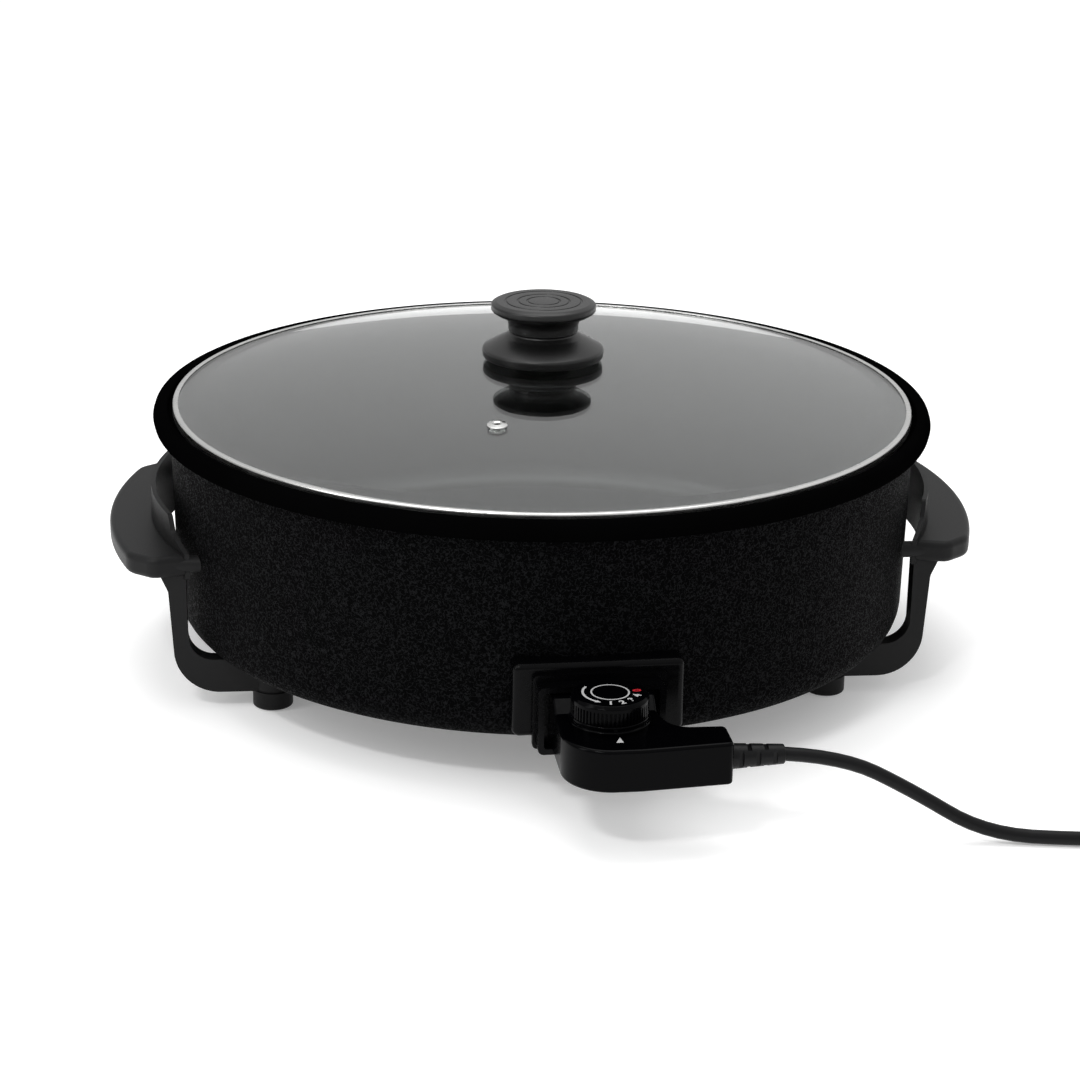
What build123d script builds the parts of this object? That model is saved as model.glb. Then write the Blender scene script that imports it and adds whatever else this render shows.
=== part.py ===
from build123d import *
import math
import os

# ---------------------------------------------------------------- driving dimensions, mm
# Heights are above the surface that the pan stands on. X runs through the two handles,
# -Y points to the mains socket. Lengths are laid out from the pan's own upright axis;
# save() then moves every piece so that the origin is under the middle of the whole outline.

pan_wall_low_r = 206.0          # outside of the wall, at the bottom corner
pan_wall_top_r = 208.0          # outside of the wall, under the rim
pan_wall = 3.6
pan_base_z = 29.0
pan_base_thick = 5.5
pan_corner_r = 16.0
rim_r = 217.3                   # largest radius of the rolled rim
rim_low_z = 141.0
rim_top_z = 152.0
lid_seat_z = 147.5              # ledge that the lid rests on
lid_seat_r = 209.0

lid_r = 206.4
lid_gap = 0.3                   # between the lid and its ledge
glass_thick = 4.0
glass_r = 205.4
glass_top_z = 173.8
band_thick = 0.6                # steel band round the glass
vent_x, vent_y = -38.5, -104.4
vent_r = 5.5

knob_cap_r = 29.3
knob_neck_r = 19.5
knob_skirt_r = 34.2
knob_split_z = 190.0
knob_top_z = 207.0
washer_low_z = glass_top_z - glass_thick - 1.6

lug_low_z = 78.0
lug_top_z = 90.0
lug_reach = 243.0               # outermost point of a handle
lug_end_y = 86.0
guard_x = 217.0                 # guard wall, at the middle of the handle
guard_end_x = 197.0             # guard wall, at the ends of the handle
guard_end_y = 82.0
guard_thick = 2.6
guard_top_z = 107.0
guard_low_z = 70.0
leg_y = 75.0
leg_width = 10.0
leg_out_x = 207.0
leg_in_x = 199.2
foot_x, foot_y = 154.0, 74.0
bracket_turn = -2.2             # handles and feet are this far round from square with the socket
foot_r = 11.0
foot_height = 10.0
foot_screw_r = 2.45

element_r = 3.3                 # sheathed heating tube
element_ring_r = 122.0
element_z = 27.0
terminal_x = 16.0               # half the distance between the two terminals
terminal_r = 2.0
contact_z = 52.0                # height of the terminals and of the probe
earth_z = 44.1

cover_half = 43.5
cover_low_z = 38.5
cover_top_z = 78.0
cover_front_y = -215.0
cover_screw_x = 36.5
shroud_half = 32.0
shroud_low_z = 33.5
shroud_top_z = 69.5
shroud_front_y = -226.0
shroud_wall = 3.0

head_half = 25.5                # part of the thermostat plug that enters the socket
head_front_y = -219.5
head_top_z = 65.5
plug_low_z = 38.0
plug_split_z = 40.6
plug_top_z = 60.0
plug_wall = 2.5
slab_left_x = -26.0
arm_end_x = 55.7
dial_y = -247.0
dial_r = 19.2
dial_low_z = 64.8
dial_top_z = 75.0
spindle_r = 3.0
running_gap = 0.05

cord_d = 7.0
cord_y = -268.5
cord_z = 48.0
relief_length = 27.0
coil_x, coil_y = 352.0, -246.0
coil_mean_r = 37.5

front_reach = -284.0            # foremost point of the thermostat plug
axis_y = -(rim_r + front_reach) / 2.0      # where the pan's axis stands in the saved frame

FRAME = Pos(0, axis_y, 0)
os.makedirs("parts", exist_ok=True)


# ---------------------------------------------------------------- helpers

def save(name, solids):
    """Move a piece, or a list of equal pieces, into the saved frame and write it."""
    if isinstance(solids, list):
        moved = Compound(children=[FRAME * solid for solid in solids])
    else:
        moved = FRAME * solids
    export_step(moved, "parts/" + name + ".step")


def outline(points):
    """A flat face from (x, y, corner radius) points."""
    face = make_face(Polyline(*[(x, y) for x, y, _ in points], close=True))
    for x, y, radius in points:
        if radius > 0:
            corner = face.vertices().sort_by_distance((x, y, 0))[0]
            face = fillet(corner, radius)
    return face


def turned(points):
    """A solid of revolution about Z from (radius, height, corner radius) points."""
    return revolve(Plane.XZ * outline(points), axis=Axis.Z)


def rod(radius, start, length, direction=(0, 0, 1)):
    """A straight round rod from a start point."""
    plane = Plane(origin=start, z_dir=direction)
    return extrude(plane * Circle(radius), amount=length)


def block(x0, x1, y0, y1, z0, z1):
    return Pos((x0 + x1) / 2, (y0 + y1) / 2, (z0 + z1) / 2) * Box(x1 - x0, y1 - y0, z1 - z0)


def upright(face, low_z, high_z):
    """A plan outline raised between two heights."""
    return extrude(Pos(0, 0, low_z) * face, amount=high_z - low_z)


def screw(head_r, head_height, shank_r, length):
    """A pan-head screw pointing up, with its head's underside at z = 0."""
    head = Pos(0, 0, -head_height / 2) * Cylinder(head_r, head_height)
    head = fillet(head.edges().filter_by(GeomType.CIRCLE).sort_by(Axis.Z)[0], head_height * 0.4)
    slot_cut = Pos(0, 0, -head_height) * Box(head_r * 1.2, 0.9, head_height)
    cross_cut = Pos(0, 0, -head_height) * Box(0.9, head_r * 1.2, head_height)
    return head - slot_cut - cross_cut + rod(shank_r, (0, 0, 0), length)


def mirror_x(shape):
    return mirror(shape, about=Plane.YZ)


# ---------------------------------------------------------------- pan

def pan_outside():
    """The pan's outer form, filled in, used to fit other pieces against it."""
    return turned([
        (0, pan_base_z, 0),
        (pan_wall_low_r, pan_base_z, pan_corner_r),
        (pan_wall_top_r, rim_low_z, 0),
        (0, rim_low_z, 0),
    ])


def wall_y(x):
    """How far the wall stands out at X, at the height of the socket."""
    return -math.sqrt(pan_wall_low_r ** 2 - x ** 2)


def element_route():
    """Ring under the base, with both ends brought forward and up behind the socket."""
    start_angle = math.degrees(math.asin(terminal_x / element_ring_r))
    ring_front_y = -element_ring_r * math.cos(math.radians(start_angle))
    rise_y = -211.0
    bend = 10.0
    ring = CenterArc((0, 0, element_z), element_ring_r, -90 + start_angle, 360 - 2 * start_angle)
    sides = []
    for side in (1, -1):
        x = side * terminal_x
        corner = FilletPolyline(
            (x, ring_front_y, element_z),
            (x, rise_y, element_z),
            (x, rise_y, contact_z - 8),
            radius=bend,
        )
        sides.append(corner)
    return ring, sides


def tube_along(path, radius):
    return sweep(Plane(origin=path @ 0, z_dir=path % 0) * Circle(radius), path=path)


def heating_element():
    ring, sides = element_route()
    tube = tube_along(ring, element_r)
    for side in sides:
        tube += tube_along(side, element_r)
    for end in (1, -1):
        knuckle = Pos(end * terminal_x, (ring @ 0).Y, element_z) * Sphere(element_r)
        tube += knuckle
    return tube


def element_groove():
    """Room for the heating tube in the underside of the base."""
    ring, _ = element_route()
    clearance = 0.15
    groove = tube_along(ring, element_r + clearance)
    ring_front_y = (ring @ 0).Y
    for side in (1, -1):
        groove += rod(element_r + clearance, (side * terminal_x, ring_front_y + 4, element_z), 90, (0, -1, 0))
    return groove


def pan_body():
    base_top = pan_base_z + pan_base_thick
    body = turned([
        (0, pan_base_z, 0),
        (pan_wall_low_r, pan_base_z, pan_corner_r),
        (pan_wall_top_r, rim_low_z, 1.5),
        (rim_r - 1.2, rim_low_z, 3.0),
        (rim_r, (rim_low_z + rim_top_z) / 2, 3.0),
        (rim_r - 1.8, rim_top_z, 4.0),
        (lid_seat_r, rim_top_z - 0.6, 1.5),
        (lid_seat_r, lid_seat_z, 0.3),
        (pan_wall_top_r - pan_wall, lid_seat_z, 1.2),
        (pan_wall_low_r - pan_wall, base_top, pan_corner_r - 3),
        (0, base_top, 0),
    ])
    body -= element_groove()
    for x in (-foot_x, foot_x):
        for y in (-foot_y, foot_y):
            body -= set_round(rod(foot_screw_r + 0.05, (x, y, pan_base_z - 1), 5.2))
    for x in (-cover_screw_x, cover_screw_x):
        post_y = wall_y(x) - 2.3
        body += rod(3.6, (x, post_y, cover_low_z + 4), 16)
        body -= rod(1.6, (x, post_y, cover_low_z - 2), 18)
    return body


# ---------------------------------------------------------------- handles, feet

def lug_face():
    """Plan outline of the half-moon grip."""
    outer = ThreePointArc((230, -76), (lug_reach, 0), (230, 76))
    end_back = Line((230, 76), (217, lug_end_y))
    tip_back = Line((217, lug_end_y), (guard_end_x, guard_end_y))
    inner = ThreePointArc((guard_end_x, guard_end_y), (guard_x, 0), (guard_end_x, -guard_end_y))
    tip_front = Line((guard_end_x, -guard_end_y), (217, -lug_end_y))
    end_front = Line((217, -lug_end_y), (230, -76))
    face = make_face([outer, end_back, tip_back, inner, tip_front, end_front])
    for x, y, radius in ((230, 76, 14), (217, lug_end_y, 8), (guard_end_x, guard_end_y, 2)):
        for side in (1, -1):
            corner = face.vertices().sort_by_distance((x, side * y, 0))[0]
            face = fillet(corner, radius)
    return face


def guard_wall():
    """Thin upright wall between the fingers and the hot pan, lower at its ends."""
    inner = ThreePointArc((guard_end_x, guard_end_y), (guard_x, 0), (guard_end_x, -guard_end_y))
    outer = ThreePointArc((guard_end_x + guard_thick, -guard_end_y), (guard_x + guard_thick, 0),
                          (guard_end_x + guard_thick, guard_end_y))
    joins = [Line(inner @ 1, outer @ 0), Line(outer @ 1, inner @ 0)]
    strip = upright(make_face([inner, joins[0], outer, joins[1]]), guard_low_z - 5, guard_top_z + 5)
    side_view = outline([
        (-84, lug_low_z, 0), (-70, guard_low_z, 3), (70, guard_low_z, 3), (84, lug_low_z, 0),
        (84, lug_top_z, 0), (66, 98, 3), (62, guard_top_z, 2.5),
        (-62, guard_top_z, 2.5), (-66, 98, 3), (-84, lug_top_z, 0),
    ])
    window = extrude(Plane.YZ.offset(190) * side_view, amount=50)
    return strip & window


def leg(side_y):
    """Upright rib beside the pan that turns under it to carry a foot."""
    low = foot_height
    profile = outline([
        (leg_in_x, lug_low_z + 2, 0),
        (leg_in_x, pan_base_z, 14),
        (foot_x - 9, pan_base_z, 0),
        (foot_x - 9, low, 1.5),
        (leg_out_x - 1.5, low, 25),
        (leg_out_x + 2, lug_low_z - 9, 6),
        (leg_out_x + 6, lug_low_z, 0),
        (leg_out_x + 6, lug_low_z + 2, 0),
    ])
    start = side_y * leg_y + leg_width / 2
    rib = extrude(Plane.XZ.offset(-start) * profile, amount=leg_width)
    pad = rod(foot_r - 1.0, (foot_x, side_y * foot_y, low), pan_base_z - low)
    return rib + pad


def set_round(shape):
    """Turn a piece of a bracket to where it stands round the pan."""
    return Rot(0, 0, bracket_turn) * shape


def handle():
    """One moulding: grip, guard wall and both legs, on the +X side."""
    lug = upright(lug_face(), lug_low_z, lug_top_z)
    rims = lug.edges().group_by(Axis.Z)
    lug = fillet(rims[-1] + rims[0], 3.5)
    body = lug + guard_wall()
    for side in (1, -1):
        body += leg(side)
        body += rod(4.5, (186, side * 79, lug_low_z + 6.5), 24, (1, 0, 0))
        body -= rod(foot_screw_r + 0.15, (foot_x, side * foot_y, foot_height - 1), 25)
    return body - Pos(0, 0, 90) * Cylinder(pan_wall_top_r + 0.3, 110)


def foot(x, y):
    pad = turned([
        (foot_screw_r + 0.15, foot_height, 0),
        (foot_screw_r + 0.15, 5.5, 0),
        (5.4, 5.5, 0),
        (5.4, 0, 0.5),
        (foot_r, 0, 1.2),
        (foot_r, foot_height, 0.6),
    ])
    return Pos(x, y, 0) * pad


def foot_screws():
    screws = []
    for x in (-foot_x, foot_x):
        for y in (-foot_y, foot_y):
            screws.append(set_round(Pos(x, y, 5.5) * screw(4.8, 3.0, foot_screw_r, 27.3)))
    return screws


# ---------------------------------------------------------------- socket on the pan

def front_rect(half_x, low_z, high_z, radius):
    """A rounded rectangle that faces -Y."""
    middle_z = (low_z + high_z) / 2
    return Plane.XZ * Pos(0, middle_z) * RectangleRounded(2 * half_x, high_z - low_z, radius)


def from_front(face, front_y, back_y):
    """Run an upright face from front_y back to back_y."""
    return extrude(Pos(0, front_y, 0) * face, amount=front_y - back_y)


def socket_cover():
    """Moulded housing that closes against the curved wall."""
    back_y = -190.0
    shell = from_front(front_rect(cover_half, cover_low_z, cover_top_z, 4), cover_front_y, back_y)
    front_edges = shell.faces().sort_by(Axis.Y)[0].edges()
    shell = fillet(front_edges, 3.5)
    inside = front_rect(cover_half - 3, cover_low_z + 3, cover_top_z - 3, 2)
    shell -= from_front(inside, cover_front_y + 3, back_y)
    passage = front_rect(shroud_half + 0.2, shroud_low_z - 5, shroud_top_z + 0.2, 1)
    shell -= from_front(passage, cover_front_y - 5, back_y)
    for x in (-cover_screw_x, cover_screw_x):
        shell -= rod(1.9, (x, wall_y(x) - 2.3, cover_low_z - 1), 6)
    return shell - pan_outside()


def socket_shroud():
    """Rectangular collar that the thermostat plug enters, with a raised border behind its mouth."""
    collar = from_front(front_rect(shroud_half, shroud_low_z, shroud_top_z, 3), shroud_front_y, -208)
    border = from_front(front_rect(shroud_half + 1.8, shroud_low_z, shroud_top_z + 3.4, 2.5),
                        cover_front_y - 3.2, cover_front_y)
    body = collar + border
    mouth = front_rect(shroud_half - shroud_wall, shroud_low_z + shroud_wall, shroud_top_z - shroud_wall, 1.5)
    body -= from_front(mouth, shroud_front_y - 5, -200)
    for x in (-terminal_x, terminal_x):
        body -= block(x - 4.2, x + 4.2, -214.8, -200, shroud_low_z - 1, shroud_low_z + shroud_wall + 1)
    return body - pan_outside()


def socket_insulator():
    """Ceramic plate at the back of the collar, with holes for the pins and the probe."""
    plate = from_front(front_rect(shroud_half - shroud_wall - 0.2, shroud_low_z + 3.2, shroud_top_z - 3.2, 1.5),
                       -217.6, -214.8)
    for x in (-terminal_x, terminal_x):
        plate -= rod(terminal_r + 0.1, (x, -220, contact_z), 8, (0, 1, 0))
    plate -= rod(2.2, (0, -220, earth_z), 8, (0, 1, 0))
    return plate - rod(5.2, (0, -220, contact_z), 8, (0, 1, 0))


def terminal_pins():
    """The two current pins, each bent forward out of the end of the heating tube."""
    pins = []
    for x in (-terminal_x, terminal_x):
        path = FilletPolyline((x, -211, contact_z - 8), (x, -211, contact_z), (x, -225, contact_z), radius=3)
        pin = tube_along(path, terminal_r)
        pins.append(pin + Pos(x, -225, contact_z) * Sphere(terminal_r))
    return pins


def earth_pin():
    """Bonds the pan to the earth contact of the plug."""
    pin = rod(2.0, (0, -207.2, earth_z), 18.5, (0, -1, 0))
    return pin + Pos(0, -225.7, earth_z) * Sphere(2.0)


def probe_guide():
    """Metal cup on the wall that the probe's tip rests in."""
    cup = rod(5.0, (0, -206.9, contact_z), 11, (0, -1, 0))
    return cup - rod(3.4, (0, -208.4, contact_z), 12, (0, -1, 0)) - pan_outside()


def socket_screws():
    screws = []
    for x in (-cover_screw_x, cover_screw_x):
        place = Pos(x, wall_y(x) - 2.3, cover_low_z)
        screws.append(place * screw(3.4, 1.8, 1.45, 14))
    return screws


# ---------------------------------------------------------------- lid

def dome(edge_z, middle_z, radius):
    """A shallow arc from the axis out to the edge, in the X-Z plane."""
    drop = middle_z - edge_z
    ball_r = (radius ** 2 + drop ** 2) / (2 * drop)
    half = radius / 2
    half_z = middle_z - ball_r + math.sqrt(ball_r ** 2 - half ** 2)
    return ThreePointArc((0, middle_z), (half, half_z), (radius, edge_z))


def lid_glass():
    seat_z = lid_seat_z + lid_gap + band_thick
    flat_r = glass_r - 3.8
    top = dome(seat_z + glass_thick, glass_top_z, flat_r)
    under = dome(seat_z, glass_top_z - glass_thick, flat_r)
    lines = [
        top,
        Line((flat_r, seat_z + glass_thick), (glass_r, seat_z + glass_thick)),
        Line((glass_r, seat_z + glass_thick), (glass_r, seat_z)),
        Line((glass_r, seat_z), (flat_r, seat_z)),
        under,
        Line((0, glass_top_z - glass_thick), (0, glass_top_z)),
    ]
    pane = revolve(Plane.XZ * make_face(lines), axis=Axis.Z)
    pane -= rod(3.2, (0, 0, 160), 20)
    return pane - rod(2.9, (vent_x, vent_y, 150), 30)


def lid_rim():
    """Folded steel band that wraps the edge of the glass."""
    low = lid_seat_z + lid_gap
    high = low + glass_thick + 2 * band_thick
    hold_r = glass_r + 0.1
    return turned([
        (hold_r - 6, low, 0), (lid_r, low, 0.5), (lid_r, high, 1.2), (hold_r - 3.2, high, 0),
        (hold_r - 3.2, high - band_thick, 0), (hold_r, high - band_thick, 0),
        (hold_r, low + band_thick, 0), (hold_r - 6, low + band_thick, 0),
    ])


def glass_height(radius):
    """Height of the glass's upper face at a radius."""
    flat_r = glass_r - 3.8
    drop = glass_top_z - (lid_seat_z + lid_gap + band_thick + glass_thick)
    ball_r = (flat_r ** 2 + drop ** 2) / (2 * drop)
    return glass_top_z - ball_r + math.sqrt(ball_r ** 2 - radius ** 2)


def vent_eyelet():
    """Rolled steel eyelet in the steam hole, square to the sloping glass."""
    radius = math.hypot(vent_x, vent_y)
    top = glass_height(radius)
    barrel = turned([
        (1.6, -glass_thick - 1.9, 0), (4.2, -glass_thick - 1.9, 0.3), (4.2, -glass_thick - 0.9, 0),
        (2.3, -glass_thick - 0.9, 0), (2.3, 0.3, 0), (vent_r, 0.3, 0), (vent_r, 1.1, 0.3),
        (2.6, 1.8, 0.4), (1.6, 1.2, 0),
    ])
    ball_r = (202.7 ** 2 + 21.4 ** 2) / (2 * 21.4)
    tilt = math.degrees(math.asin(radius / ball_r))
    spin = math.degrees(math.atan2(vent_y, vent_x))
    return Pos(vent_x, vent_y, top) * Rot(0, 0, spin) * Rot(0, tilt, 0) * barrel


def knob_cap():
    """Upper half of the knob, with ring grooves in its flat top."""
    cap = turned([
        (0, knob_split_z, 0),
        (knob_neck_r, knob_split_z, 0),
        (knob_neck_r + 0.3, 197.0, 5),
        (knob_cap_r - 2.8, 200.2, 3),
        (knob_cap_r, 202.0, 1.6),
        (knob_cap_r, 205.6, 1.6),
        (knob_cap_r - 3.0, knob_top_z, 1.5),
        (0, knob_top_z, 0),
    ])
    for radius in (0.72, 0.49, 0.31):
        ring = turned([
            (radius * knob_cap_r - 0.7, knob_top_z - 0.5, 0), (radius * knob_cap_r + 0.7, knob_top_z - 0.5, 0),
            (radius * knob_cap_r + 0.7, knob_top_z + 1, 0), (radius * knob_cap_r - 0.7, knob_top_z + 1, 0),
        ])
        cap -= ring
    return cap - rod(2.5, (0, 0, 180), 18)


def knob_skirt():
    """Lower half of the knob, hollow underneath, that flares out over the glass."""
    skirt = turned([
        (0, 175.4, 0),
        (16, 175.4, 0), (16, 180.0, 1.0), (30.0, 178.6, 1.0), (31.6, 175.6, 0.4),
        (knob_skirt_r - 0.6, 175.6, 0.8),
        (knob_skirt_r, 180.4, 2),
        (knob_neck_r + 2.4, knob_split_z - 2.8, 6),
        (knob_neck_r, knob_split_z, 0),
        (0, knob_split_z, 0),
    ])
    return skirt - rod(2.7, (0, 0, 170), 25)


def knob_gasket():
    return Pos(0, 0, (glass_top_z + 175.4) / 2) * (Cylinder(15.5, 175.4 - glass_top_z) - Cylinder(2.8, 5))


def knob_washer():
    return Pos(0, 0, washer_low_z + 0.75) * (Cylinder(9, 1.5) - Cylinder(2.8, 5))


def knob_screw():
    return Pos(0, 0, washer_low_z) * screw(4.8, 2.8, 2.4, 28)


# ---------------------------------------------------------------- thermostat plug

def plug_outline(inset=0.0):
    """Plan of the plug: narrow head, wide rounded front, arm to the right."""
    face = outline([
        (-head_half, head_front_y, 1.5),
        (slab_left_x, front_reach + 0.6, 24),
        (10, front_reach, 60),
        (arm_end_x, front_reach + 4, 3),
        (arm_end_x, -258, 3),
        (30, -257, 12),
        (head_half, -238, 8),
        (head_half, head_front_y, 1.5),
    ])
    if inset:
        face = offset(face, -inset, kind=Kind.INTERSECTION)
    return face


def plug_head(inset=0.0):
    """The raised block that enters the socket and slopes down towards the dial."""
    side_view = outline([
        (head_front_y - inset, plug_split_z, 0),
        (head_front_y - inset, head_top_z - inset, 0),
        (-229, head_top_z - inset, 3),
        (-238, plug_top_z - 1 - inset, 0),
        (-238, plug_split_z, 0),
    ])
    half = head_half - inset
    return extrude(Plane.YZ.offset(-half) * side_view, amount=2 * half)


def contact_holes():
    """Passages in the plug's face for the pins and the probe."""
    holes = rod(5.4, (0, head_front_y + 3, contact_z), 12, (0, -1, 0))
    holes += rod(3.8, (0, head_front_y + 3, earth_z), 14, (0, -1, 0))
    for x in (-terminal_x, terminal_x):
        holes += rod(3.6, (x, head_front_y + 3, contact_z), 12, (0, -1, 0))
    return holes


def plug_upper_shell():
    slab = upright(plug_outline(), plug_split_z, plug_top_z)
    slab = fillet(slab.edges().group_by(Axis.Z)[-1], 2.0)
    head = plug_head()
    ridges = head.edges().filter_by(Axis.Y).group_by(Axis.Z)[-1]
    head = fillet(ridges, 1.5)
    shell = slab + head
    shell -= upright(plug_outline(plug_wall), plug_split_z - 1, plug_top_z - plug_wall)
    shell -= plug_head(plug_wall)
    shell -= rod(dial_r + 1.3, (0, dial_y, plug_top_z), 10)
    shell -= rod(5.05, (0, dial_y, plug_top_z - 5), 10)
    shell -= contact_holes()
    return shell - rod(4.5, (arm_end_x - 4, cord_y, cord_z), 10, (1, 0, 0))


def plug_lower_shell():
    plate = upright(plug_outline(), plug_low_z, plug_split_z)
    low_edges = plate.edges().group_by(Axis.Z)[0]
    plate = fillet(low_edges, 1.4)
    lip = upright(plug_outline(plug_wall + 0.15), plug_split_z, plug_split_z + 1.5)
    lip -= upright(plug_outline(plug_wall + 1.6), plug_split_z - 1, plug_split_z + 3)
    plate += lip
    plate -= contact_holes()
    plate -= rod(4.5, (arm_end_x - 4, cord_y, cord_z), 10, (1, 0, 0))
    for x, y in shell_screw_places:
        plate -= rod(1.7, (x, y, plug_low_z - 1), 8)
        plate -= rod(3.1, (x, y, plug_low_z - 1), 3)
    return plate


shell_screw_places = ((-20, -238), (20, -238), (-14, -274), (49, -262.5))


def shell_screws():
    return [Pos(x, y, plug_low_z + 1.7) * screw(2.9, 1.5, 1.4, 7) for x, y in shell_screw_places]


def dial_collar():
    """Fixed stepped ring that the dial turns on."""
    return Pos(0, dial_y, 0) * turned([
        (5.1, plug_top_z, 0), (dial_r + 0.9, plug_top_z, 0), (dial_r + 0.9, plug_top_z + 1.8, 0.6),
        (dial_r + 0.1, plug_top_z + 2.2, 0), (dial_r + 0.1, dial_low_z - 0.3, 0.6),
        (5.1, dial_low_z - 0.3, 0),
    ])


def dial():
    """Fluted temperature dial with a flat top and a bevelled edge."""
    teeth = 60
    depth = 0.7
    ring = []
    for tooth in range(teeth):
        for share, radius in ((0.0, dial_r), (0.45, dial_r), (0.6, dial_r - depth), (0.85, dial_r - depth)):
            angle = 2 * math.pi * (tooth + share) / teeth
            ring.append((radius * math.cos(angle), radius * math.sin(angle)))
    fluted = upright(make_face(Polyline(*ring, close=True)), dial_low_z, dial_low_z + 6.8)
    smooth = turned([
        (0, dial_low_z, 0), (dial_r - 1.0, dial_low_z, 0), (dial_r - 1.0, dial_low_z + 6.4, 0),
        (dial_r, dial_low_z + 6.8, 0), (dial_r, dial_top_z - 1.6, 1.0), (dial_r - 1.4, dial_top_z, 0.8),
        (0, dial_top_z, 0),
    ])
    knob = fluted + smooth
    knob -= Pos(0, 0, dial_low_z) * (Cylinder(dial_r - 3.2, 11) - Cylinder(6.0, 20))
    knob -= Pos(0, 0, dial_low_z) * Cylinder(spindle_r, 12)
    return Pos(0, dial_y, 0) * knob


def dial_spindle():
    """Shaft that carries the dial's turn down to the switch."""
    return rod(spindle_r, (0, dial_y, 47.5), 70.8 - 47.5)


def spindle_bush():
    """Threaded bush in the upper shell that the spindle turns in."""
    low = plug_top_z - 5.5
    sleeve = rod(5.0, (0, dial_y, low), dial_low_z - 0.4 - low)
    return sleeve - rod(spindle_r + running_gap, (0, dial_y, low - 1), 20)


def switch_block():
    """Ceramic base of the thermostat switch."""
    base = block(-11, 11, -256, -238, plug_split_z + 0.3, 47.2)
    return base - block(-8, 8, -258, -236, 45.2, 48)


def bimetal_strip():
    """Strip that bends with the probe's heat and opens the contacts."""
    return block(-3, 3, -255.5, -236.5, 45.3, 46.1)


def contact_springs():
    return [block(x - 1.5, x + 1.5, -255, -239, 46.2, 46.8) for x in (-5.5, 5.5)]


def probe_rod():
    """Steel sensing rod that reaches through the plug's face to the pan."""
    tip_y = -209.4
    rod_length = 27.0
    return rod(3.0, (0, tip_y, contact_z), rod_length, (0, -1, 0))


def contact_sleeve(x, z, inner_r):
    outer = rod(inner_r + 1.0, (x, head_front_y - 2.6, z), 12, (0, -1, 0))
    return outer - rod(inner_r, (x, head_front_y, z), 10, (0, -1, 0))


def contact_sleeves():
    return [contact_sleeve(x, contact_z, terminal_r + 0.4) for x in (-terminal_x, terminal_x)]


def cord_clamp():
    """Strap inside the arm that grips the cord's jacket."""
    strap = block(38, 45, cord_y - 7, cord_y + 7, plug_split_z + 1.8, cord_z + 5.5)
    return strap - rod(cord_d / 2, (30, cord_y, cord_z), 30, (1, 0, 0))


def strain_relief():
    """Tapered rubber sleeve, slotted on alternate sides."""
    length = relief_length
    start = arm_end_x
    profile = outline([
        (start - 2, 0, 0), (start - 2, 4.4, 0), (start, 4.4, 0), (start, 6.4, 0.8),
        (start + length, 4.9, 0.6), (start + length, 0, 0),
    ])
    sleeve = Pos(0, cord_y, cord_z) * revolve(profile, axis=Axis.X)
    core = cord_d / 2 + 0.6
    for index in range(5):
        x = start + 4.0 + index * 4.2
        for side in (1, -1):
            if index % 2:
                z = cord_z + side * (core + 4)
                sleeve -= block(x, x + 2.2, cord_y - 8, cord_y + 8, z - 4, z + 4)
            else:
                y = cord_y + side * (core + 4)
                sleeve -= block(x, x + 2.2, y - 4, y + 4, cord_z - 8, cord_z + 8)
    return sleeve


# ---------------------------------------------------------------- cord and mains plug

cord_route = [
    (arm_end_x + relief_length, cord_y, cord_z),
    (112, -269.5, 45.5),
    (146, -273, 28),
    (184, -278, 4.2),
    (232, -288, cord_d / 2),
    (288, -293, cord_d / 2),
    (coil_x, coil_y - coil_mean_r - cord_d / 2, cord_d / 2),
]


def corner_radii(points, share=0.45):
    """Each bend takes the same share of the shorter run beside it."""
    radii = []
    for before, corner, after in zip(points, points[1:], points[2:]):
        run_in = Vector(*corner) - Vector(*before)
        run_out = Vector(*after) - Vector(*corner)
        turn = math.radians(run_in.get_angle(run_out))
        radii.append(share * min(run_in.length, run_out.length) / math.tan(turn / 2))
    return radii


def cord_lead():
    radii = corner_radii(cord_route)
    path = FilletPolyline(*cord_route, radius=radii)
    lead = tube_along(path, cord_d / 2)
    section = math.pi * (cord_d / 2) ** 2
    print("cord radii", [round(radius) for radius in radii], "length", round(path.length, 1),
          "volume share", round(lead.volume / (section * path.length), 4))
    return lead


def cord_coil():
    """Outer form of the put-away turns: two side by side, two high."""
    half = cord_d
    return Pos(coil_x, coil_y, 0) * turned([
        (coil_mean_r - half, 0, 2.5), (coil_mean_r + half, 0, 2.5),
        (coil_mean_r + half, 2 * cord_d, 2.5), (coil_mean_r - half, 2 * cord_d, 2.5),
    ])


def cord_tie():
    """Band round the coil that holds its turns together."""
    band = block(coil_x - 4, coil_x + 4, coil_y + coil_mean_r - cord_d - 1.6, coil_y + coil_mean_r + cord_d + 1.6,
                 0, 2 * cord_d + 1.6)
    hollow = block(coil_x - 5, coil_x + 5, coil_y + coil_mean_r - cord_d - 0.6, coil_y + coil_mean_r + cord_d + 0.2,
                   -1, 2 * cord_d + 0.2)
    return band - hollow


mains_plug_length = 62.0
mains_plug_tilt = 11.9          # it rests on the edge of its body and on its cord
mains_plug_back = (coil_x + coil_mean_r + cord_d / 2, coil_y + 18.0, 1.5 * cord_d)


def lying(solid):
    """Lay a piece of the mains plug down: it is built upright, with its cord end at the origin."""
    return Pos(*mains_plug_back) * Rot(mains_plug_tilt - 90, 0, 0) * solid


def mains_plug():
    """Moulded two-pin earthed plug."""
    body = turned([
        (0, 0, 0), (5.0, 0, 0.8), (6.6, 24, 4), (15.0, 30, 5), (18.6, 38, 3),
        (18.6, mains_plug_length, 0.8), (0, mains_plug_length, 0),
    ])
    for side in (1, -1):
        x = side * 17.6
        body -= block(x - 2.6, x + 2.6, -2.6, 2.6, mains_plug_length - 16, mains_plug_length + 1)
    return lying(body)


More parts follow.
